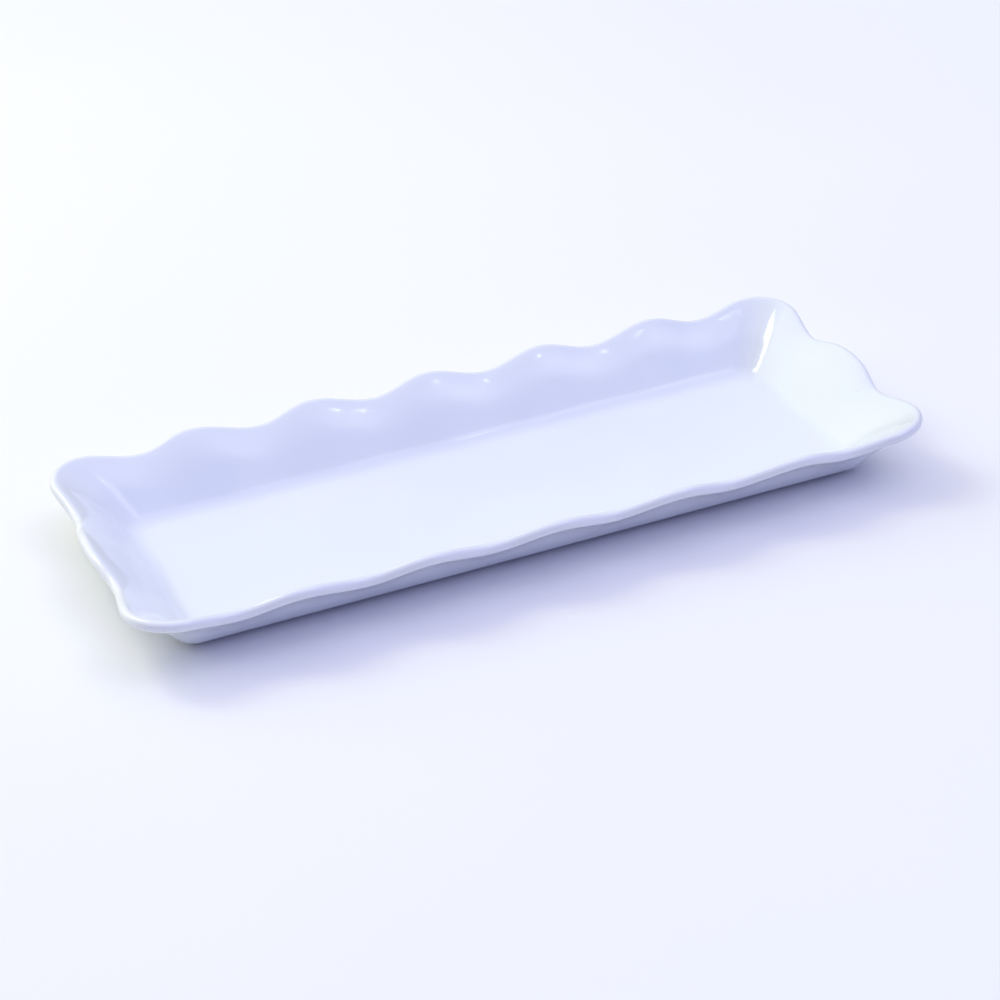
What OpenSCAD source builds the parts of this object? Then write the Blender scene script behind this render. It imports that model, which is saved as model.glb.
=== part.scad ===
// Scalloped china serving platter: a long shallow tray with sloping walls and a wavy, flared rim.
// Millimetres, +Z up, +X along the length. The origin is on the table, under the platter's middle.
//
// The china is one fired piece. It is built here from the four things it is made of: the clay body,
// the foot ring that it stands on, and the two areas of glaze that the bare foot keeps apart.
// Every surface of the wall comes from one profile, swept round a rounded rectangle. The wave of
// the rim slides the lip up and down the straight wall, so crests are both higher and further out.

/* [Overall size] */
// Length over the crests in the middle of the two ends
overall_length = 380; // [320:5:460]
// Width over the crests in the middle of the two long sides
overall_width = 159; // [130:1:220]
// Height of the crests above the table
overall_height = 31.5; // [29.5:0.5:46]

/* [Wall and rim] */
// Slope of the outside of the wall, from the horizontal
outer_slope = 52; // [48:1:56]
// Slope of the inside of the wall, which is a little flatter, so the wall thickens downwards
inner_slope = 47; // [42:1:50]
// Thickness of the lip, glaze included
lip_thickness = 5; // [3.6:0.1:6]
// Radius of the underside of the lip, where it flares out
lip_radius = 65; // [40:1:70]
// Angle that the lip turns outwards from the wall
lip_turn = 20; // [12:1:22]

/* [Scallops] */
// Waves along each long side, from corner to corner
long_waves = 6; // [4:1:8]
// Waves along each end, from corner to corner
end_waves = 2; // [2:1:3]
// Distance that a crest stands up the wall from the mean line
wave_height = 3; // [1:0.1:4]
// How much the crests of the two ends are broadened, 0 for an even wave
end_crest_fullness = 0.12; // [0:0.02:0.2]

/* [Corners and floor] */
// Corner radius of the rim, seen from above, at the middle of its rounded edge
rim_corner_radius = 21; // [16:1:32]
// Corner radius of the base, where the outside of the wall meets the underside
base_corner_radius = 8; // [4:0.5:12]
// Corner radius of the flat floor
floor_corner_radius = 6; // [3:0.5:12]
// Corner radius of the line round the wall that the waves are measured along
wave_line_radius = 12; // [6:1:20]
// Thickness of the floor, both glazes included
floor_thickness = 3.4; // [2.8:0.1:5]
// Radius inside, between floor and wall
floor_fillet = 12.5; // [6:0.5:16]
// Radius outside, between wall and underside
base_edge_radius = 8; // [2:0.5:10]

/* [Foot and glaze] */
// Height of the foot ring below the underside
foot_height = 1.5; // [1:0.1:3]
// Width of the foot ring where it meets the underside
foot_width = 4; // [3:0.5:6]
// Distance from the base outline in to the foot ring
foot_inset = 9; // [6:0.5:14]
// Corner radius of the outside of the foot ring
foot_corner_radius = 9; // [7:0.5:16]
// Slope of the sides of the foot ring, as the width lost on each side
foot_taper = 0.5; // [0.2:0.1:0.8]
// Radius along both lower edges of the foot ring
foot_edge_radius = 0.6; // [0.3:0.1:0.9]
// Thickness of the glaze
glaze_thickness = 0.3; // [0.2:0.05:0.5]
// Bare line between the glaze and the foot ring, where the glaze was wiped off
wiped_gap = 0.5; // [0.2:0.1:1.5]

/* [Hidden] */
body_colour = [0.93, 0.92, 0.89];
foot_colour = [0.87, 0.85, 0.80];
glaze_colour = [0.95, 0.96, 1.0];

// Steps of the mesh: round half a corner, along a side, and along each part of the profile
corner_steps = 3;
steps_per_wave = 7;
fillet_steps = 4;
lip_steps = 3;
edge_steps = 4;
base_steps = 2;

// Slope of the lip at its edge, and the height of the underside and of the floor
edge_slope = outer_slope - lip_turn;
underside_z = foot_height;
floor_z = underside_z + floor_thickness;

// Length of the straight outside of the wall at the mean of the wave, from the height that is left
lip_rise = (lip_radius + lip_thickness / 2) * cos(edge_slope) - lip_radius * cos(outer_slope);
wall_rise = overall_height - underside_z - lip_rise - lip_thickness / 2;
wall_length = wall_rise / sin(outer_slope) - wave_height;

// Distance from the base outline out to the tip of a crest, and the base outline that this leaves
lip_reach = lip_radius * sin(outer_slope) - (lip_radius + lip_thickness / 2) * sin(edge_slope);
rim_reach = (wall_length + wave_height) * cos(outer_slope) + lip_reach + lip_thickness / 2;
base_half_length = overall_length / 2 - rim_reach;
base_half_width = overall_width / 2 - rim_reach;

// Centre of the lip's bend, for a wave value from -1 in a dip to 1 on a crest
function lip_centre(wave) =
    let (up_wall = wall_length + wave_height * wave)
    [up_wall * cos(outer_slope) + lip_radius * sin(outer_slope),
     underside_z + up_wall * sin(outer_slope) - lip_radius * cos(outer_slope)];

// Point of the lip at a slope, a radius away from the centre of its bend
function lip_point(wave, radius, slope) = lip_centre(wave) + radius * [-sin(slope), cos(slope)];

// Middle of the rounded edge, and the place where the flat floor ends, both in the profile
function edge_centre(wave) = lip_point(wave, lip_radius + lip_thickness / 2, edge_slope);
function floor_reach(wave) =
    let (wall_top = lip_point(wave, lip_radius + lip_thickness, inner_slope))
    wall_top[0] - (wall_top[1] - floor_z) / tan(inner_slope) - floor_fillet * tan(inner_slope / 2);

// The profile runs from the floor, over the rim, to the underside, as [distance out, height] pairs.
// It lies "depth" below the finished surface: 0 is the glaze's face, glaze_thickness is the clay's.
function inside_profile(wave, depth) = concat(
    [for (i = [0:fillet_steps])
        let (slope = inner_slope * i / fillet_steps)
        [floor_reach(wave), floor_z + floor_fillet]
            + (floor_fillet + depth) * [sin(slope), -cos(slope)]],
    [for (i = [0:lip_steps])
        let (slope = inner_slope + (edge_slope - inner_slope) * i / lip_steps)
        lip_point(wave, lip_radius + lip_thickness - depth, slope)]
);
function edge_profile(wave, depth) =
    [for (i = [1:edge_steps - 1])
        let (turn = edge_slope + 90 - 180 * i / edge_steps)
        edge_centre(wave) + (lip_thickness / 2 - depth) * [cos(turn), sin(turn)]];
function outside_profile(wave, depth) = concat(
    [for (i = [0:lip_steps])
        let (slope = edge_slope + lip_turn * i / lip_steps)
        lip_point(wave, lip_radius + depth, slope)],
    [for (i = [0:base_steps])
        let (slope = outer_slope * (1 - i / base_steps))
        [-base_edge_radius * tan(outer_slope / 2), underside_z + base_edge_radius]
            + (base_edge_radius - depth) * [sin(slope), -cos(slope)]]
);

// Corner radius at a distance out, growing evenly from a first radius to the rim's
function grown_radius(reach, first_reach, first_radius, wave) =
    let (share = (reach - first_reach) / (edge_centre(wave)[0] - first_reach))
    first_radius + (rim_corner_radius - first_radius) * share;

// The whole profile as [distance out, height, corner radius]
function profile(wave, depth) = concat(
    [for (p = inside_profile(wave, depth))
        [p[0], p[1], grown_radius(p[0], floor_reach(wave), floor_corner_radius, wave)]],
    [for (p = edge_profile(wave, depth))
        [p[0], p[1], rim_corner_radius + p[0] - edge_centre(wave)[0]]],
    [for (p = outside_profile(wave, depth))
        [p[0], p[1], grown_radius(p[0], 0, base_corner_radius, wave)]]
);

// Stations round the outline, from the middle of one corner to the middle of the next, as
// [degrees turned, share of the straight passed].
function side_steps(waves) =
    let (straight_steps = waves * steps_per_wave)
    concat(
        [for (i = [0:corner_steps - 1]) [45 + 45 * i / corner_steps, 0]],
        [for (i = [0:straight_steps - 1]) [90, i / straight_steps]],
        [for (i = [0:corner_steps - 1]) [90 + 45 * i / corner_steps, 1]]
    );

// A station is [corner or side centre as a share of the way to the corner centres, direction, wave]
corners = [[1, 1], [-1, 1], [-1, -1], [1, -1]];
wave_line_arc = PI / 2 * wave_line_radius;
function side_stations(side) =
    let (is_long = side % 2 == 0)
    let (waves = is_long ? long_waves : end_waves)
    let (fullness = is_long ? 0 : end_crest_fullness)
    let (half = is_long ? base_half_length : base_half_width)
    let (straight = 2 * (half - base_corner_radius))
    let (from = corners[side])
    let (to = corners[(side + 1) % 4])
    [for (step = side_steps(waves))
        let (passed = (step[0] - 45) / 90 * wave_line_arc + step[1] * straight)
        let (turn = 360 * waves * passed / (straight + wave_line_arc))
        [from + (to - from) * step[1],
         90 * side + step[0],
         cos(turn) + fullness * (1 - cos(2 * turn))]];
stations = [for (side = [0:3]) each side_stations(side)];
count = len(stations);

// Point at a station on the rounded rectangle of these half sizes and corner radius
function outline_point(station, half_length, half_width, radius, z) =
    [station[0][0] * (half_length - radius) + radius * cos(station[1]),
     station[0][1] * (half_width - radius) + radius * sin(station[1]),
     z];

// All rings of the wall's surface at a depth below the finished face
function wall_rings(depth) =
    let (profiles = [for (station = stations) profile(station[2], depth)])
    [for (j = [0:len(profiles[0]) - 1])
        [for (i = [0:count - 1])
            let (p = profiles[i][j])
            outline_point(stations[i], base_half_length + p[0], base_half_width + p[0], p[2], p[1])]];

// Ring on the underside, round the foot and clear of it
function foot_clear_ring(z) =
    let (margin = foot_inset - wiped_gap)
    [for (station = stations)
        outline_point(station, base_half_length - margin, base_half_width - margin,
                      foot_corner_radius + wiped_gap, z)];

function reversed(list) = [for (i = [len(list) - 1:-1:0]) list[i]];

// Closed solid through a stack of rings, with a flat face inside the first and the last
module ring_solid(rings) {
    last = len(rings) - 1;
    walls = [for (j = [0:last - 1], i = [0:count - 1])
        let (next = (i + 1) % count)
        each [[j * count + i, (j + 1) * count + next, (j + 1) * count + i],
              [j * count + i, j * count + next, (j + 1) * count + next]]];
    first_face = [for (i = [count - 1:-1:0]) i];
    last_face = [for (i = [0:count - 1]) last * count + i];
    polyhedron(points = [for (ring = rings) each ring], faces = concat([first_face], walls, [last_face]));
}

// Rounded rectangle from its half sizes, with true arcs at the corners
module rounded_outline(half_length, half_width, radius) {
    square([2 * half_length, 2 * (half_width - radius)], center = true);
    square([2 * (half_length - radius), 2 * half_width], center = true);
    for (x = [-1, 1], y = [-1, 1])
        translate([x * (half_length - radius), y * (half_width - radius)])
            circle(r = radius, $fn = 64);
}

// Section of the foot ring: x runs outwards from the inside of the ring, y is up
module foot_section() {
    low_left = foot_taper + foot_edge_radius;
    low_right = foot_width - foot_taper - foot_edge_radius;
    rise = foot_height + glaze_thickness;
    shoulder = foot_edge_radius;
    polygon([[0, rise], [foot_taper, shoulder], [low_left, 0],
             [low_right, 0], [foot_width - foot_taper, shoulder], [foot_width, rise]]);
    translate([low_left, foot_edge_radius])
        circle(r = foot_edge_radius, $fn = 32);
    translate([low_right, foot_edge_radius])
        circle(r = foot_edge_radius, $fn = 32);
}

// Fired clay: floor, sloping walls and wavy lip in one piece
module china_body() {
    color(body_colour)
        ring_solid(wall_rings(glaze_thickness));
}

// Standing ring on the underside, ground flat and left unglazed
module foot_ring() {
    half_length = base_half_length - foot_inset;
    half_width = base_half_width - foot_inset;
    inner_radius = foot_corner_radius - foot_width;
    corner_x = half_length - foot_corner_radius;
    corner_y = half_width - foot_corner_radius;
    color(foot_colour) {
        for (side = [0:3])
            translate([corners[side][0] * corner_x, corners[side][1] * corner_y, 0])
                rotate([0, 0, 90 * side])
                    rotate_extrude(angle = 90, $fn = 64)
                        translate([inner_radius, 0])
                            foot_section();
        for (turn = [0, 180]) rotate([0, 0, turn]) {
            translate([corner_x + inner_radius, corner_y, 0])
                rotate([90, 0, 0])
                    linear_extrude(height = 2 * corner_y)
                        foot_section();
            translate([-corner_x, corner_y + inner_radius, 0])
                rotate([90, 0, 90])
                    linear_extrude(height = 2 * corner_x)
                        foot_section();
        }
    }
}

// Glaze over the inside, the rim and the outside, down to the bare line round the foot
module glaze_coat() {
    rings = concat(
        wall_rings(0),
        [foot_clear_ring(underside_z), foot_clear_ring(underside_z + glaze_thickness)],
        reversed(wall_rings(glaze_thickness))
    );
    color(glaze_colour)
        ring_solid(rings);
}

// Glaze on the underside, inside the foot ring
module glaze_underside() {
    margin = foot_inset + foot_width + wiped_gap;
    radius = foot_corner_radius - foot_width - wiped_gap;
    color(glaze_colour)
        translate([0, 0, underside_z])
            linear_extrude(height = glaze_thickness)
                rounded_outline(base_half_length - margin, base_half_width - margin, radius);
}

china_body();
foot_ring();
glaze_coat();
glaze_underside();
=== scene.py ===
# %% [markdown]
# # A scalloped china serving platter
#
# The platter is one fired piece of white tableware: a long shallow tray whose walls slope outwards
# and end in a thick, softly waved rim. A potter would slip-cast or press it in a mould, fire it,
# dip it in a cool white glaze, wipe the glaze off the foot and fire it again.
#
# The lesson builds it in the order of that work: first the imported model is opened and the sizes
# are written down, then the wall's profile and its waves become a node tree, then the clay, the
# glaze and the foot are made from it, and last come the finishes, the light and the camera.

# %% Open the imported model
import math

import bmesh
import bpy
from mathutils import Matrix, Vector


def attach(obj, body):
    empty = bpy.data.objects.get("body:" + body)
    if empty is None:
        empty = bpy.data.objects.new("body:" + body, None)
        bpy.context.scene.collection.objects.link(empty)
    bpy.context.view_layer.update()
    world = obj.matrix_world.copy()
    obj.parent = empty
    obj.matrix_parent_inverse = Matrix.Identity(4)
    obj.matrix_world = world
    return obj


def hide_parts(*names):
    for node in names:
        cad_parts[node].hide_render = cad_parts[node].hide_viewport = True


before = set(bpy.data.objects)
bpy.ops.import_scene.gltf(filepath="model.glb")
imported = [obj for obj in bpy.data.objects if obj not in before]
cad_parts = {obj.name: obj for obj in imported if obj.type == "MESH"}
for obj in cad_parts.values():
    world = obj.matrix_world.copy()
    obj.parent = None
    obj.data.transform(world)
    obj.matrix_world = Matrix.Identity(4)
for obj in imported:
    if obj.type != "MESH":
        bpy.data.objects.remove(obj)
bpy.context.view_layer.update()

print("pieces in the packed model:", sorted(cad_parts))

# %% [markdown]
# ## The platter's sizes
#
# Everything is in metres, and angles are in degrees where they are written and in radians where
# they are used. The origin is on the table under the platter's middle, with X along its length.
# The sizes are those that the solid model was made with, so that each piece made here fits it.

# %% The platter's sizes
MM = 0.001

LENGTHS = {
    "Overall length": 380 * MM,
    "Overall width": 159 * MM,
    "Overall height": 31.5 * MM,
    "Lip thickness": 5 * MM,
    "Lip radius": 65 * MM,
    "Wave height": 3 * MM,
    "Rim corner radius": 21 * MM,
    "Base corner radius": 8 * MM,
    "Floor corner radius": 6 * MM,
    "Wave line radius": 12 * MM,
    "Floor thickness": 3.4 * MM,
    "Floor fillet": 12.5 * MM,
    "Base edge radius": 8 * MM,
    "Foot height": 1.5 * MM,
    "Foot inset": 9 * MM,
    "Foot corner radius": 9 * MM,
    "Glaze thickness": 0.3 * MM,
    "Wiped gap": 0.5 * MM,
    "Ripple height": 0.035 * MM,
}
ANGLES = {
    "Outer slope": math.radians(52),
    "Inner slope": math.radians(47),
    "Lip turn": math.radians(20),
}
SHARES = {
    "Long waves": 6.0,
    "End waves": 2.0,
    "End crest fullness": 0.12,
}
SIZES = {**LENGTHS, **ANGLES, **SHARES}
WELD_DISTANCE = 0.002 * MM
print(len(SIZES), "sizes:", ", ".join(SIZES))

# %% [markdown]
# ## Sums that become nodes
#
# The wall follows a rule, so a node tree can make it. Such a tree is mostly arithmetic, and wired
# by hand it is hard to read. Here a small class stands for a number inside a tree: adding two of
# them adds a Math node, so that the rule can be written as ordinary sums.

# %% Sums that become nodes
def reckon(operation, *values):
    """One Math node over plain numbers and numbers inside a tree."""
    tree = next(v.socket.id_data for v in values if isinstance(v, Number))
    node = tree.nodes.new("ShaderNodeMath")
    node.operation = operation
    for entry, value in zip(node.inputs, values):
        if isinstance(value, Number):
            tree.links.new(value.socket, entry)
        else:
            entry.default_value = value
    return Number(node.outputs[0])


class Number:
    """A number that a node tree works out."""

    def __init__(self, socket):
        self.socket = socket

    def __add__(self, other):
        return reckon("ADD", self, other)

    def __sub__(self, other):
        return reckon("SUBTRACT", self, other)

    def __mul__(self, other):
        return reckon("MULTIPLY", self, other)

    def __truediv__(self, other):
        return reckon("DIVIDE", self, other)

    def __rsub__(self, other):
        return reckon("SUBTRACT", other, self)

    __radd__, __rmul__ = __add__, __mul__


def sine(angle):
    return reckon("SINE", angle) if isinstance(angle, Number) else math.sin(angle)


def cosine(angle):
    return reckon("COSINE", angle) if isinstance(angle, Number) else math.cos(angle)


def tangent(angle):
    return reckon("TANGENT", angle) if isinstance(angle, Number) else math.tan(angle)


def within(value, low, high):
    """value, held between low and high."""
    return reckon("MINIMUM", reckon("MAXIMUM", value, low), high)


def blended(first, second, share):
    """first where share is 0, second where it is 1."""
    return first + (second - first) * share


# %% [markdown]
# ## Nodes by name
#
# Two more helpers keep the trees short: one adds a node and fills or wires its inputs, and one
# gives a tree its named inputs, so that a platter of another size only needs other numbers in the
# modifier's panel.

# %% Nodes by name
def add_node(tree, kind, inputs=(), **settings):
    """A node of a kind, with its settings and inputs. An input is given by its name or place."""
    node = tree.nodes.new(kind)
    for name, value in settings.items():
        setattr(node, name, value)
    for key, value in dict(inputs).items():
        entry = node.inputs[key]
        if isinstance(value, Number):
            value = value.socket
        if isinstance(value, bpy.types.NodeSocket):
            tree.links.new(value, entry)
        else:
            entry.default_value = value
    return node


def name_inputs(tree, numbers):
    """Float inputs with these names and starting values, and a way to read them inside the tree."""
    for name, value in numbers.items():
        entry = tree.interface.new_socket(name, in_out="INPUT", socket_type="NodeSocketFloat")
        entry.default_value = value
        if name in ANGLES:
            entry.subtype = "ANGLE"
    tree.interface.new_socket("Geometry", in_out="OUTPUT", socket_type="NodeSocketGeometry")
    return tree.nodes.new("NodeGroupInput")


# %% [markdown]
# ## Walking along the profile
#
# Cut across the wall, the platter shows one line: the flat floor, a wide fillet, the sloping
# inside of the wall, the lip that flares out, the round edge, and then the outside in the opposite
# order. The tree lays a grid round the platter, with its rows along that line and its columns
# round the outline. A band of rows belongs to each part of the line, and a point's place is
# reached by walking: each band adds its own step, once the bands before it are complete.

# %% Rows along the profile and columns round the outline
BAND_ROWS = {
    "floor": 6,
    "fillet": 12,
    "inner wall": 4,
    "inner lip": 7,
    "edge": 12,
    "outer lip": 6,
    "outer wall": 4,
    "base edge": 7,
    "underside": 3,
    "end": 5,
}
ROWS = sum(BAND_ROWS.values())
CORNER_COLUMNS = 12
WAVE_COLUMNS = 34
LONG_COLUMNS = 2 * CORNER_COLUMNS + int(SIZES["Long waves"]) * WAVE_COLUMNS
END_COLUMNS = 2 * CORNER_COLUMNS + int(SIZES["End waves"]) * WAVE_COLUMNS
HALF_COLUMNS = LONG_COLUMNS + END_COLUMNS
COLUMNS = 2 * HALF_COLUMNS


def band_shares(row):
    """How much of each band has been walked at a row, from 0 before it to 1 after it."""
    shares, first = {}, 0
    for band, rows in BAND_ROWS.items():
        shares[band] = within((row - first) / rows, 0.0, 1.0)
        first += rows
    return shares


print(f"the grid has {ROWS} rows and {COLUMNS} columns")

# %% [markdown]
# ## Round the outline
#
# From above, every level of the wall is a rounded rectangle. The columns start in the middle of a
# corner, turn the other half of it, pass along the straight and turn into the next corner. The
# second half of the outline is the first one turned by half a turn, so only a long side and an end
# are worked out. The waves are counted along the way, and a crest stands in the middle of each
# corner. On the ends the crests are a little broader than the dips.

# %% Round the outline
def outline_columns(column, size):
    """For a column: corner place as two shares, direction, wave, and the sign of the half turn."""
    turned = reckon("GREATER_THAN", column, HALF_COLUMNS - 0.5)
    half_column = column - turned * HALF_COLUMNS
    on_end = reckon("GREATER_THAN", half_column, LONG_COLUMNS - 0.5)
    step = half_column - on_end * LONG_COLUMNS
    straight_columns = blended(
        LONG_COLUMNS - 2 * CORNER_COLUMNS, END_COLUMNS - 2 * CORNER_COLUMNS, on_end)
    out_of_corner = within(step / CORNER_COLUMNS, 0.0, 1.0)
    passed = within((step - CORNER_COLUMNS) / straight_columns, 0.0, 1.0)
    into_corner = within((step - CORNER_COLUMNS - straight_columns) / CORNER_COLUMNS, 0.0, 1.0)

    along_x = blended(1.0 - passed * 2.0, -1.0, on_end)
    along_y = 1.0 - passed * 2.0 * on_end
    quarter = math.pi / 2
    direction = (out_of_corner + into_corner + 1.0) * (quarter / 2) + on_end * quarter

    half_side = blended(size["base half length"], size["base half width"], on_end)
    straight = (half_side - size["Base corner radius"]) * 2.0
    corner_arc = size["Wave line radius"] * quarter
    walked = (out_of_corner + into_corner) * 0.5 * corner_arc + passed * straight
    waves = blended(size["Long waves"], size["End waves"], on_end)
    phase = waves * (walked / (straight + corner_arc)) * (2 * math.pi)
    wave = cosine(phase) + size["End crest fullness"] * on_end * (1.0 - cosine(phase * 2.0))
    return along_x, along_y, direction, wave, 1.0 - turned * 2.0


# %% [markdown]
# ## From the sizes to a point
#
# These sums are those of the solid model. The wave slides the whole lip up and down the slope of
# the outer wall, so crests are both higher and further out than dips. Corner radii grow with the
# distance out: tight at the floor, generous at the rim.

# %% Sizes that follow from the others
def follow_on(size):
    """Adds the sizes that the rule needs and that follow from the named ones."""
    outer, lip, thickness = size["Outer slope"], size["Lip radius"], size["Lip thickness"]
    edge_slope = outer - size["Lip turn"]
    middle = lip + thickness * 0.5
    lip_rise = middle * cosine(edge_slope) - lip * cosine(outer)
    wall_rise = size["Overall height"] - size["Foot height"] - lip_rise - thickness * 0.5
    wall = wall_rise / sine(outer) - size["Wave height"]
    lip_reach = lip * sine(outer) - middle * sine(edge_slope)
    rim_reach = (wall + size["Wave height"]) * cosine(outer) + lip_reach + thickness * 0.5
    size["edge slope"] = edge_slope
    size["wall length"] = wall
    size["base half length"] = size["Overall length"] * 0.5 - rim_reach
    size["base half width"] = size["Overall width"] * 0.5 - rim_reach
    size["floor height"] = size["Foot height"] + size["Floor thickness"]
    return size


def arc_step(radius, first, last, share):
    """The step out and up along an arc that turns from one angle to another."""
    angle = blended(first, last, share)
    return radius * (cosine(angle) - cosine(first)), radius * (sine(angle) - sine(first))


# %% The profile's walk
def profile_point(size, shares, wave, depth):
    """Reach, height and corner radius of a point that lies a depth below the finished face."""
    quarter = math.pi / 2
    outer, inner, edge = size["Outer slope"], size["Inner slope"], size["edge slope"]
    up_wall = size["wall length"] + size["Wave height"] * wave
    lip_x = up_wall * cosine(outer) + size["Lip radius"] * sine(outer)
    lip_z = size["Foot height"] + up_wall * sine(outer) - size["Lip radius"] * cosine(outer)
    face = size["Lip radius"] + size["Lip thickness"]
    middle = size["Lip radius"] + size["Lip thickness"] * 0.5
    edge_x = lip_x - middle * sine(edge)

    wall_top = [lip_x - face * sine(inner), lip_z + face * cosine(inner)]
    floor_x = (
        wall_top[0]
        - (wall_top[1] - size["floor height"]) / tangent(inner)
        - size["Floor fillet"] * tangent(inner * 0.5)
    )
    fillet = size["Floor fillet"] + depth
    fillet_end = [
        floor_x + fillet * sine(inner),
        size["floor height"] + size["Floor fillet"] - fillet * cosine(inner),
    ]
    inner_lip = face - depth
    outer_lip = size["Lip radius"] + depth
    base_edge = size["Base edge radius"]
    outer_end = [lip_x - outer_lip * sine(outer), lip_z + outer_lip * cosine(outer)]
    base_start = [
        (base_edge - depth) * sine(outer) - base_edge * tangent(outer * 0.5),
        size["Foot height"] + base_edge - (base_edge - depth) * cosine(outer),
    ]
    stop = size["Foot inset"] - size["Wiped gap"] - size["Glaze thickness"] * 0.5
    base_end_x = base_edge * tangent(outer * 0.5) * -1.0

    steps = [
        arc_step(fillet, -quarter, inner - quarter, shares["fillet"]),
        [(wall_top[i] + inward(i, depth, inner) - fillet_end[i]) * shares["inner wall"] for i in (0, 1)],
        arc_step(inner_lip, inner + quarter, edge + quarter, shares["inner lip"]),
        arc_step(size["Lip thickness"] * 0.5 - depth, edge + quarter, edge - quarter, shares["edge"]),
        arc_step(outer_lip, edge + quarter, outer + quarter, shares["outer lip"]),
        [(base_start[i] - outer_end[i]) * shares["outer wall"] for i in (0, 1)],
        arc_step(base_edge - depth, outer - quarter, -quarter, shares["base edge"]),
        [(base_end_x + stop) * shares["underside"] * -1.0, 0.0],
    ]
    reach, height = floor_x, size["floor height"] - depth
    for out, up in steps:
        reach, height = reach + out, height + up

    grown_inside = grown_radius(size, reach, floor_x, size["Floor corner radius"], edge_x)
    grown_outside = grown_radius(size, reach, 0.0, size["Base corner radius"], edge_x)
    round_edge = size["Rim corner radius"] + reach - edge_x
    round_foot = size["Foot corner radius"] + size["Foot inset"] - stop
    radius = blended(grown_inside, round_edge, shares["inner lip"])
    radius = blended(radius, grown_outside, shares["outer lip"])
    radius = blended(radius, round_foot, shares["underside"])
    return reach, height, radius


def inward(axis, depth, slope):
    """How far the inside of the wall lies from its face at a depth, along X (0) or Z (1)."""
    return depth * sine(slope) if axis == 0 else depth * cosine(slope) * -1.0


def grown_radius(size, reach, first_reach, first_radius, edge_reach):
    share = (reach - first_reach) / (edge_reach - first_reach)
    return (size["Rim corner radius"] - first_radius) * share + first_radius


# %% [markdown]
# ## One skin of the platter
#
# The group below wraps the grid round the platter. It serves three times: for the glaze's face,
# for the glaze's back, which lies on the clay, and for the clay itself. Three inputs tell them
# apart: the depth below the finished face, whether the skin closes across the underside, and
# whether it ends in the rounded bead that glaze draws up into where it was wiped off.
# The first rows run in from the floor's edge to the platter's long middle line, the spine, where
# the two sides meet, so the skin needs no separate lid.

# %% One skin of the platter
def build_skin_group():
    tree = bpy.data.node_groups.new("Platter skin", "GeometryNodeTree")
    entry = name_inputs(tree, {**SIZES, "Depth": 0.0, "Closed": 0.0, "Beaded": 0.0})
    size = follow_on({name: Number(entry.outputs[name]) for name in SIZES})
    depth, closed, beaded = (Number(entry.outputs[n]) for n in ("Depth", "Closed", "Beaded"))

    grid = add_node(tree, "GeometryNodeMeshGrid", {"Vertices X": COLUMNS + 1, "Vertices Y": ROWS + 1})
    index = Number(add_node(tree, "GeometryNodeInputIndex").outputs[0])
    column = reckon("FLOOR", (index + 0.5) / (ROWS + 1))
    row = index - column * (ROWS + 1)
    shares = band_shares(row)
    along_x, along_y, direction, wave, sign = outline_columns(column, size)
    reach, height, radius = profile_point(size, shares, wave, depth)

    bead = size["Glaze thickness"] * 0.5 * beaded
    bead_turn = shares["end"] * math.pi
    reach = reach - bead * sine(bead_turn)
    height = height + bead * (1.0 - cosine(bead_turn))

    x = along_x * (size["base half length"] + reach - radius) + radius * cosine(direction)
    y = along_y * (size["base half width"] + reach - radius) + radius * sine(direction)
    spine = size["base half length"] - size["base half width"]
    spine_x = within(x, spine * -1.0, spine)
    spread = shares["floor"] * (1.0 - shares["end"] * closed)
    place = add_node(tree, "ShaderNodeCombineXYZ", {
        0: (spine_x + (x - spine_x) * spread) * sign,
        1: y * spread * sign,
        2: height,
    })
    made = add_node(tree, "GeometryNodeSetPosition", {
        "Geometry": grid.outputs["Mesh"], "Position": place.outputs[0]}).outputs[0]

    kept = {
        "rim": sine(shares["edge"] * math.pi),
        "pool": sine(shares["fillet"] * math.pi),
        "ripple": 1.0 - shares["base edge"],
    }
    for name, value in kept.items():
        made = add_node(tree, "GeometryNodeStoreNamedAttribute", {
            "Geometry": made, "Name": name, "Value": value},
            data_type="FLOAT", domain="POINT").outputs[0]
    made = add_node(tree, "GeometryNodeMergeByDistance", {
        "Geometry": made, "Distance": WELD_DISTANCE}).outputs[0]
    made = add_node(tree, "GeometryNodeFlipFaces", {0: made}).outputs[0]
    add_node(tree, "NodeGroupOutput", {
        "Geometry": rippled(tree, made, size["Ripple height"])})
    return tree


def rippled(tree, made, height):
    """Gentle unevenness, as in every moulded and dipped surface, fading out on the underside."""
    noise = add_node(tree, "ShaderNodeTexNoise", {"Scale": 28.0, "Detail": 1.0}, noise_dimensions="3D")
    share = add_node(tree, "GeometryNodeInputNamedAttribute", {"Name": "ripple"}, data_type="FLOAT")
    lift = (Number(noise.outputs[0]) - 0.5) * 2.0 * height * Number(share.outputs[0])
    normal = add_node(tree, "GeometryNodeInputNormal")
    push = add_node(tree, "ShaderNodeVectorMath", {0: normal.outputs[0]}, operation="SCALE")
    tree.links.new(lift.socket, push.inputs["Scale"])
    return add_node(tree, "GeometryNodeSetPosition", {
        "Geometry": made, "Offset": push.outputs[0]}).outputs[0]


skin_group = build_skin_group()
print("the skin group has", len(skin_group.nodes), "nodes")

# %% [markdown]
# ## Finishes first
#
# The trees end in Set Material, so the finishes are made before the pieces. All of them read
# Object coordinates, which are the platter's own metres, so a pattern keeps its real scale.

# %% Helpers for the finishes
def new_finish(name):
    """A material with its shader, its tree and its Object coordinates."""
    finish = bpy.data.materials.new(name)
    finish.use_nodes = True
    tree = finish.node_tree
    shader = tree.nodes["Principled BSDF"]
    spot = tree.nodes.new("ShaderNodeTexCoord").outputs["Object"]
    return finish, tree, shader, spot


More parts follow.
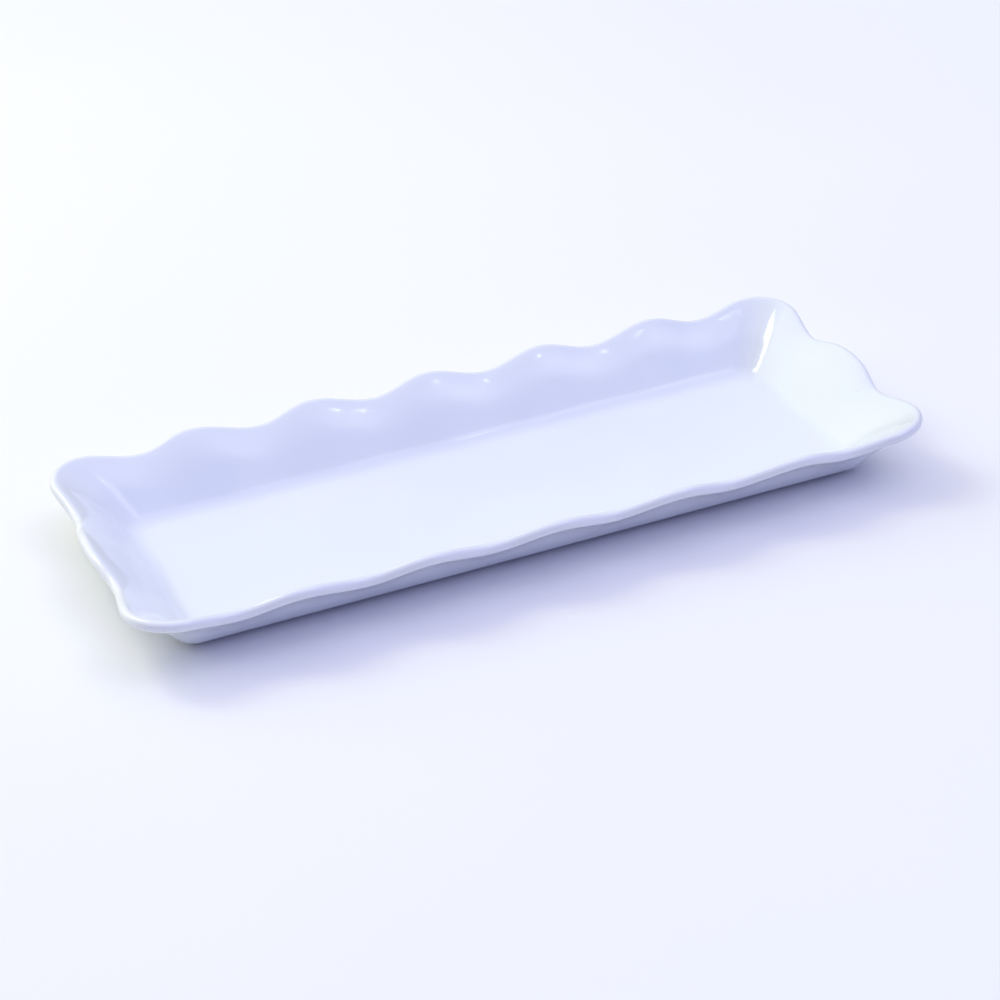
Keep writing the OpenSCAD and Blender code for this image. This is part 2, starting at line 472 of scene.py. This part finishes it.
def noise_of(tree, spot, scale, detail=2.0, roughness=0.5):
    return Number(add_node(tree, "ShaderNodeTexNoise", {
        "Vector": spot, "Scale": scale, "Detail": detail, "Roughness": roughness}).outputs[0])


def stretched(tree, value, low, high, to_low=0.0, to_high=1.0):
    """value, moved from one range to another and held inside it."""
    return Number(add_node(tree, "ShaderNodeMapRange", {
        "Value": value, "From Min": low, "From Max": high,
        "To Min": to_low, "To Max": to_high}, interpolation_type="SMOOTHSTEP").outputs[0])


def mixed(tree, first, second, share):
    """A colour between two others."""
    return add_node(tree, "ShaderNodeMix", {0: share, 6: first, 7: second}, data_type="RGBA").outputs[2]


def bumped(tree, shader, height, distance):
    node = add_node(tree, "ShaderNodeBump", {"Height": height, "Distance": distance, "Strength": 1.0})
    tree.links.new(node.outputs[0], shader.inputs["Normal"])


def attribute(tree, name):
    return Number(add_node(tree, "ShaderNodeAttribute", attribute_name=name).outputs["Fac"])


# %% [markdown]
# ## The glaze
#
# White tableware glaze is glass over white clay. Close up it isn't one colour: it gathers in the
# fillet, where it looks cooler, and draws thin over the edge, where the warmer clay shows through.
# Its face has a faint orange-peel texture, very soft larger waves, a few pinhead specks of iron,
# and fine wear that makes its gloss uneven.

# %% The glaze
ORANGE_PEEL_HEIGHT = 0.018 * MM
GLAZE_IOR = 1.52
GLAZE_ROUGHNESS = (0.07, 0.13)


def make_glaze():
    finish, tree, shader, spot = new_finish("cool_white_glaze")
    drift = stretched(tree, noise_of(tree, spot, 11.0, 3.0), 0.35, 0.65)
    colour = mixed(tree, (0.775, 0.815, 0.905, 1), (0.795, 0.832, 0.912, 1), drift)
    colour = mixed(tree, colour, (0.735, 0.790, 0.905, 1), attribute(tree, "pool") * 0.35)
    colour = mixed(tree, colour, (0.830, 0.845, 0.885, 1), attribute(tree, "rim") * 0.6)
    cells = add_node(tree, "ShaderNodeTexVoronoi", {"Vector": spot, "Scale": 95.0})
    speck = stretched(tree, Number(cells.outputs["Distance"]), 0.012, 0.026, 1.0, 0.0)
    colour = mixed(tree, colour, (0.33, 0.31, 0.30, 1), speck * 0.6)
    tree.links.new(colour, shader.inputs["Base Color"])

    worn = noise_of(tree, spot, 46.0, 5.0, 0.62)
    gloss = stretched(tree, worn, 0.3, 0.75, *GLAZE_ROUGHNESS)
    tree.links.new(gloss.socket, shader.inputs["Roughness"])
    peel = noise_of(tree, spot, 420.0, 1.5) + noise_of(tree, spot, 120.0, 1.0) * 1.6
    bumped(tree, shader, peel, ORANGE_PEEL_HEIGHT)
    shader.inputs["IOR"].default_value = GLAZE_IOR
    return finish


glaze = make_glaze()
print("glaze:", len(glaze.node_tree.nodes), "nodes")

# %% [markdown]
# ## Bare clay
#
# Under the glaze, and on the foot, the fired clay is matt and slightly warm, with a fine grain
# that feels like the back of a tile. The foot has been ground level and has rubbed on tables, so
# its lowest face is a little greyer, in streaks and patches.

# %% Bare clay
def make_clay(name, base, dark, grain):
    finish, tree, shader, spot = new_finish(name)
    cloud = stretched(tree, noise_of(tree, spot, 30.0, 4.0), 0.3, 0.7)
    colour = mixed(tree, base, dark, cloud * 0.5)
    dots = stretched(tree, noise_of(tree, spot, 2600.0, 2.0, 0.7), 0.58, 0.72)
    colour = mixed(tree, colour, tuple(c * 0.72 for c in dark[:3]) + (1,), dots * 0.4)
    rough = stretched(tree, noise_of(tree, spot, 300.0, 3.0), 0.3, 0.7, 0.72, 0.92)
    tree.links.new(rough.socket, shader.inputs["Roughness"])
    height = noise_of(tree, spot, 2600.0, 3.0, 0.7) + noise_of(tree, spot, 500.0, 2.0)
    bumped(tree, shader, height, grain)
    shader.inputs["Specular IOR Level"].default_value = 0.35
    return finish, tree, shader, spot, colour


def make_biscuit():
    finish, tree, shader, _, colour = make_clay(
        "fired_clay", (0.74, 0.72, 0.67, 1), (0.66, 0.635, 0.58, 1), 0.06 * MM)
    tree.links.new(colour, shader.inputs["Base Color"])
    return finish


def make_foot_finish():
    finish, tree, shader, spot, colour = make_clay(
        "ground_bare_foot", (0.69, 0.665, 0.61, 1), (0.60, 0.575, 0.52, 1), 0.08 * MM)
    height = Number(add_node(tree, "ShaderNodeSeparateXYZ", {0: spot}).outputs["Z"])
    low = stretched(tree, height, 0.0001, 0.0007, 1.0, 0.0)
    patches = stretched(tree, noise_of(tree, spot, 160.0, 5.0, 0.65), 0.42, 0.62)
    colour = mixed(tree, colour, (0.36, 0.355, 0.35, 1), low * (patches * 0.55 + 0.15))
    tree.links.new(colour, shader.inputs["Base Color"])
    return finish


biscuit, foot_finish = make_biscuit(), make_foot_finish()
print("bare clay:", biscuit.name, "and", foot_finish.name)

# %% [markdown]
# ## From a tree to a finished piece
#
# A piece tree joins one or more skins, welds them where they meet and gives them their finish. The
# result is read back as a plain mesh, so that what rides on the model is only faces.

# %% From a tree to a finished piece
def build_piece_tree(name, skins, finish):
    """A tree of skins, each given as its depth, closed, beaded and flipped."""
    tree = bpy.data.node_groups.new(name, "GeometryNodeTree")
    entry = name_inputs(tree, SIZES)
    join = tree.nodes.new("GeometryNodeJoinGeometry")
    for depth, closed, beaded, flipped in skins:
        skin = add_node(tree, "GeometryNodeGroup", node_tree=skin_group)
        for size in SIZES:
            tree.links.new(entry.outputs[size], skin.inputs[size])
        if depth:
            tree.links.new(entry.outputs[depth], skin.inputs["Depth"])
        skin.inputs["Closed"].default_value = closed
        skin.inputs["Beaded"].default_value = beaded
        made = skin.outputs[0]
        if flipped:
            made = add_node(tree, "GeometryNodeFlipFaces", {0: made}).outputs[0]
        tree.links.new(made, join.inputs[0])
    made = add_node(tree, "GeometryNodeMergeByDistance", {
        "Geometry": join.outputs[0], "Distance": WELD_DISTANCE}).outputs[0]
    made = add_node(tree, "GeometryNodeSetShadeSmooth", {"Geometry": made}).outputs[0]
    made = add_node(tree, "GeometryNodeRealizeInstances", {"Geometry": made}).outputs[0]
    made = add_node(tree, "GeometryNodeSetMaterial", {"Geometry": made, "Material": finish}).outputs[0]
    add_node(tree, "NodeGroupOutput", {"Geometry": made})
    return tree


def made_by(tree, name, finish):
    """A plain mesh object from a tree, with the platter's sizes set in the modifier."""
    start = bpy.data.objects.new(name + "_start", bpy.data.meshes.new(name + "_start"))
    bpy.context.scene.collection.objects.link(start)
    modifier = start.modifiers.new("shape", "NODES")
    modifier.node_group = tree
    for entry in tree.interface.items_tree:
        if entry.in_out == "INPUT" and entry.name in SIZES:
            modifier[entry.identifier] = SIZES[entry.name]
    bpy.context.view_layer.update()
    graph = bpy.context.evaluated_depsgraph_get()
    mesh = bpy.data.meshes.new_from_object(start.evaluated_get(graph))
    mesh.name = name
    start.modifiers.remove(modifier)
    bpy.data.objects.remove(start)
    piece = bpy.data.objects.new(name, mesh)
    bpy.context.scene.collection.objects.link(piece)
    if not mesh.materials:
        mesh.materials.append(finish)
    return piece


def report_mesh(piece):
    """Prints the triangles, the open edges and the volume, which is above 0 if faces point out."""
    form = bmesh.new()
    form.from_mesh(piece.data)
    open_edges = sum(not edge.is_manifold for edge in form.edges)
    triangles = sum(len(face.verts) - 2 for face in form.faces)
    volume = form.calc_volume(signed=True) * 1e6
    form.free()
    print(f"{piece.name}: {triangles} triangles, {open_edges} open edges, {volume:.2f} cm3")


# %% [markdown]
# ## The clay and the glaze over it
#
# The clay is one closed skin, lying one glaze thickness below the finished face. The glaze is a
# shell between that depth and the face. It ends in a bead just short of the foot, because the foot
# is wiped clean before firing: glass on it would stick to the kiln shelf.

# %% The clay and the glaze over it
GLAZE = "Glaze thickness"
clay_tree = build_piece_tree("Clay body", [(GLAZE, 1.0, 0.0, False)], biscuit)
coat_tree = build_piece_tree("Glaze coat", [(None, 0.0, 1.0, False), (GLAZE, 0.0, 0.0, True)], glaze)
clay_body = made_by(clay_tree, "clay_body", biscuit)
glazed_wall = made_by(coat_tree, "glazed_wall_and_rim", glaze)
for piece in (clay_body, glazed_wall):
    report_mesh(piece)

# %% [markdown]
# ## The foot and the glaze inside it
#
# The foot is a low ring under the floor. Its sides taper, its lower edges are rubbed round, and it
# flows into the underside with a small fillet. The glazed panel inside it is a thin plate with
# beaded edges. Both are loops of points round the same outline, so plain mesh code is enough.

# %% Loops round the base outline
def base_half_sizes():
    """Half length and half width of the base outline, where the wall meets the underside."""
    outer, lip, thickness = SIZES["Outer slope"], SIZES["Lip radius"], SIZES["Lip thickness"]
    edge, middle = outer - SIZES["Lip turn"], lip + thickness / 2
    lip_rise = middle * math.cos(edge) - lip * math.cos(outer)
    wall_rise = SIZES["Overall height"] - SIZES["Foot height"] - lip_rise - thickness / 2
    lip_reach = lip * math.sin(outer) - middle * math.sin(edge)
    rim_reach = wall_rise / math.tan(outer) + lip_reach + thickness / 2
    return SIZES["Overall length"] / 2 - rim_reach, SIZES["Overall width"] / 2 - rim_reach


BASE_HALF_LENGTH, BASE_HALF_WIDTH = base_half_sizes()
LOOP_CORNER_STEPS = 18


def base_loop(reach, height, radius, spread=1.0):
    """Points round the base outline, moved out by a reach, or drawn in towards the spine."""
    half_length, half_width = BASE_HALF_LENGTH + reach, BASE_HALF_WIDTH + reach
    spine = BASE_HALF_LENGTH - BASE_HALF_WIDTH
    points = []
    for side, (x_side, y_side) in enumerate([(1, 1), (-1, 1), (-1, -1), (1, -1)]):
        for step in range(LOOP_CORNER_STEPS + 1):
            turn = math.radians(90) * (side + step / LOOP_CORNER_STEPS)
            x = x_side * (half_length - radius) + radius * math.cos(turn)
            y = y_side * (half_width - radius) + radius * math.sin(turn)
            spine_x = max(-spine, min(spine, x))
            points.append((spine_x + (x - spine_x) * spread, y * spread, height))
    return points


def loops_piece(name, loops, finish, joined_up=False):
    """A closed piece through loops of equal length. Joined up, the last meets the first."""
    form = bmesh.new()
    rings = [[form.verts.new(point) for point in loop] for loop in loops]
    count = len(rings[0])
    for first, second in zip(rings, rings[1:] + (rings[:1] if joined_up else [])):
        for i in range(count):
            j = (i + 1) % count
            form.faces.new((first[i], first[j], second[j], second[i]))
    bmesh.ops.remove_doubles(form, verts=form.verts[:], dist=0.001 * MM)
    bmesh.ops.dissolve_degenerate(form, dist=0.0005 * MM, edges=form.edges[:])
    bmesh.ops.recalc_face_normals(form, faces=form.faces[:])
    mesh = bpy.data.meshes.new(name)
    form.to_mesh(mesh)
    form.free()
    mesh.shade_smooth()
    mesh.materials.append(finish)
    piece = bpy.data.objects.new(name, mesh)
    bpy.context.scene.collection.objects.link(piece)
    report_mesh(piece)
    return piece


# %% The bare foot
FOOT_WIDTH = 4 * MM
FOOT_TAPER = 0.5 * MM
FOOT_EDGE = 0.6 * MM
ROOT_FILLET = 0.35 * MM
CLAY_HEIGHT = SIZES["Foot height"] + SIZES["Glaze thickness"]


def half_foot_section():
    """From the root's fillet down to the middle of the sole, as inset from the side and height."""
    points = []
    for step in range(5):
        share = step / 4
        points.append(((1 - share) ** 2 * -ROOT_FILLET + share**2 * 0.12 * MM,
                       CLAY_HEIGHT - share**2 * ROOT_FILLET))
    for step in range(7):
        turn = math.radians(90) * step / 6
        points.append((FOOT_TAPER + FOOT_EDGE * (1 - math.cos(turn)), FOOT_EDGE * (1 - math.sin(turn))))
    points.append((FOOT_WIDTH / 2, 0.0))
    return points


outer_half = half_foot_section()
inner_half = [(FOOT_WIDTH - inset, height) for inset, height in reversed(outer_half[:-1])]
foot_loops = [
    base_loop(-SIZES["Foot inset"] - inset, height, SIZES["Foot corner radius"] - inset)
    for inset, height in outer_half + inner_half
]
bare_foot = loops_piece("bare_foot", foot_loops, foot_finish, joined_up=True)

# %% The glazed panel inside the foot
BEAD = SIZES["Glaze thickness"] / 2
panel_reach = -(SIZES["Foot inset"] + FOOT_WIDTH + SIZES["Wiped gap"] + BEAD)
panel_radius = SIZES["Foot corner radius"] - FOOT_WIDTH - SIZES["Wiped gap"] - BEAD
panel_loops = [base_loop(panel_reach, SIZES["Foot height"], panel_radius, s) for s in (0, 0.35, 0.7, 0.95)]
for step in range(9):
    turn = math.radians(180) * step / 8
    panel_loops.append(base_loop(panel_reach + BEAD * math.sin(turn),
                                 SIZES["Foot height"] + BEAD * (1 - math.cos(turn)),
                                 panel_radius + BEAD * math.sin(turn)))
panel_loops += [base_loop(panel_reach, CLAY_HEIGHT, panel_radius, s) for s in (0.5, 0)]
glazed_panel = loops_piece("glazed_panel_underneath", panel_loops, glaze)

# %% [markdown]
# ## Riding on the model
#
# Nothing on a platter moves, so every piece rides on the one body, root. Each piece made here
# stands for the solid of the same part, which stays in the model for collision.

# %% Riding on the model
MADE_FOR = [
    (clay_body, "china_body", "biscuit"),
    (glazed_wall, "glaze_coat", "glaze"),
    (glazed_panel, "glaze_underside", "glaze"),
    (bare_foot, "foot_ring", "bare_foot"),
]
for piece, node, slot in MADE_FOR:
    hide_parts(node)
    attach(piece, "root")
    print(piece.name, "stands for", node)

# %% [markdown]
# ## Table and light
#
# The stage is a plain pale table with soft studio light. China this glossy mirrors whatever
# lights it, and it shows no hard patches apart from one bright streak in a corner, so most of the
# light comes from glows in the surroundings that fade away gradually: a strong one low behind the
# left end, a cooler one over the front, a wide one from above and a faint one from the back. One
# more is gathered tightly over the near right, and lightens the far end of the long back wall.
# Three lamps have edges: two panels behind, which draw the streak, and a tiny one overhead, which
# picks out the crests of the lip. Past the edge of the table, only a plain pale backdrop shows.

# %% The table
TABLE_HALF_SIDE = 8.0


def make_table():
    finish, tree, shader, spot = new_finish("pale_table")
    tone = stretched(tree, noise_of(tree, spot, 3.0, 2.0), 0.3, 0.7)
    tree.links.new(mixed(tree, (0.865, 0.868, 0.885, 1), (0.875, 0.878, 0.895, 1), tone),
                   shader.inputs["Base Color"])
    shader.inputs["Roughness"].default_value = 0.9
    shader.inputs["Specular IOR Level"].default_value = 0.1
    mesh = bpy.data.meshes.new("table")
    half = TABLE_HALF_SIDE
    mesh.from_pydata([(-half, -half, 0), (half, -half, 0), (half, half, 0), (-half, half, 0)], [],
                     [(0, 1, 2, 3)])
    mesh.materials.append(finish)
    table = bpy.data.objects.new("table", mesh)
    bpy.context.scene.collection.objects.link(table)
    return table


table = make_table()
print("table made:", table.name)

# %% The lamps
LAMP_DISTANCE = 1.5
PANEL_COLOUR = (1.0, 0.97, 0.60)


def add_lamp(name, direction, width, height, power, colour):
    """A rectangular lamp, seen from the platter in this direction, facing the platter."""
    data = bpy.data.lights.new(name, "AREA")
    data.shape, data.size, data.size_y = "RECTANGLE", width, height
    data.energy, data.color = power, colour
    lamp = bpy.data.objects.new(name, data)
    lamp.location = direction * LAMP_DISTANCE
    lamp.rotation_mode = "QUATERNION"
    lamp.rotation_quaternion = direction.to_track_quat("Z", "Y")
    bpy.context.scene.collection.objects.link(lamp)


def towards(turn, height):
    """The direction at this many degrees round from +X and this many above the table."""
    turn, height = math.radians(turn), math.radians(height)
    return Vector((math.cos(turn) * math.cos(height), math.sin(turn) * math.cos(height),
                   math.sin(height)))


# each glow: where it is, how tightly it is gathered, and its strength in red, green and blue
GLOWS = [
    (towards(128, 24), 8, (2.22, 2.38, 1.94)),
    (towards(310, 50), 3, (0.33, 0.37, 0.95)),
    (towards(325, 57), 60, (2.20, 2.30, 1.60)),
    (towards(60, 40), 4, (0.32, 0.33, 0.20)),
    (towards(0, 90), 2, (0.94, 0.93, 1.05)),
]
BACKDROP = (0.86, 0.88, 0.93, 1)


def make_surroundings():
    world = bpy.data.worlds.new("soft_surroundings")
    bpy.context.scene.world = world
    world.use_nodes = True
    tree = world.node_tree
    where = add_node(tree, "ShaderNodeTexCoord").outputs["Generated"]
    total = (0.0, 0.0, 0.0)
    for direction, gathered, colour in GLOWS:
        facing = add_node(tree, "ShaderNodeVectorMath", {0: where, 1: direction},
                          operation="DOT_PRODUCT")
        strength = reckon("MAXIMUM", Number(facing.outputs["Value"]), 0.0)
        strength = reckon("POWER", strength, float(gathered))
        glow = add_node(tree, "ShaderNodeVectorMath", {0: colour, "Scale": strength},
                        operation="SCALE")
        total = add_node(tree, "ShaderNodeVectorMath", {0: total, 1: glow.outputs["Vector"]},
                         operation="ADD").outputs["Vector"]
    to_the_eye = Number(add_node(tree, "ShaderNodeLightPath").outputs["Is Camera Ray"])
    tree.links.new(mixed(tree, total, BACKDROP, to_the_eye),
                   tree.nodes["Background"].inputs["Color"])


make_surroundings()
add_lamp("tall_panel_behind", towards(127, 52.5), 0.36, 0.46, 3.4, PANEL_COLOUR)
add_lamp("low_panel_behind", towards(131.5, 41.5), 0.22, 0.26, 1.2, PANEL_COLOUR)
add_lamp("small_lamp_overhead", towards(342, 68), 0.08, 0.04, 0.09, (0.85, 0.92, 1.0))
bpy.context.scene.view_settings.view_transform = "Standard"

# %% [markdown]
# ## The camera
#
# The view is from the near left and above, from rather far away with a long lens, so the far end
# shrinks only a little. The camera looks at the point on the table under the platter's middle and
# is turned by a few degrees about its own axis.

# %% The camera
CAMERA_AZIMUTH = math.radians(-21.512)
CAMERA_ELEVATION = math.radians(30.681)
CAMERA_ROLL = math.radians(-3.132)
CAMERA_DISTANCE = 1.15124
CAMERA_LENS_MM = 90.025
CAMERA_SENSOR_MM = 36.0
CAMERA_SHIFT = (0.00826, 0.00247)


def add_camera():
    level = math.cos(CAMERA_ELEVATION)
    back = Vector((math.sin(CAMERA_AZIMUTH) * level, -math.cos(CAMERA_AZIMUTH) * level,
                   math.sin(CAMERA_ELEVATION)))
    right = (-back).cross(Vector((0, 0, 1))).normalized()
    up = right.cross(-back)
    turned_right = right * math.cos(CAMERA_ROLL) + up * math.sin(CAMERA_ROLL)
    turned_up = up * math.cos(CAMERA_ROLL) - right * math.sin(CAMERA_ROLL)
    data = bpy.data.cameras.new("camera")
    data.lens, data.sensor_width = CAMERA_LENS_MM, CAMERA_SENSOR_MM
    data.shift_x, data.shift_y = CAMERA_SHIFT
    data.clip_start, data.clip_end = 0.01, 50.0
    camera = bpy.data.objects.new("camera", data)
    camera.matrix_world = Matrix.LocRotScale(
        back * CAMERA_DISTANCE, Matrix((turned_right, turned_up, back)).transposed(), None)
    bpy.context.scene.collection.objects.link(camera)
    return camera


bpy.context.scene.camera = add_camera()
print("camera at", [round(x, 3) for x in bpy.context.scene.camera.location])
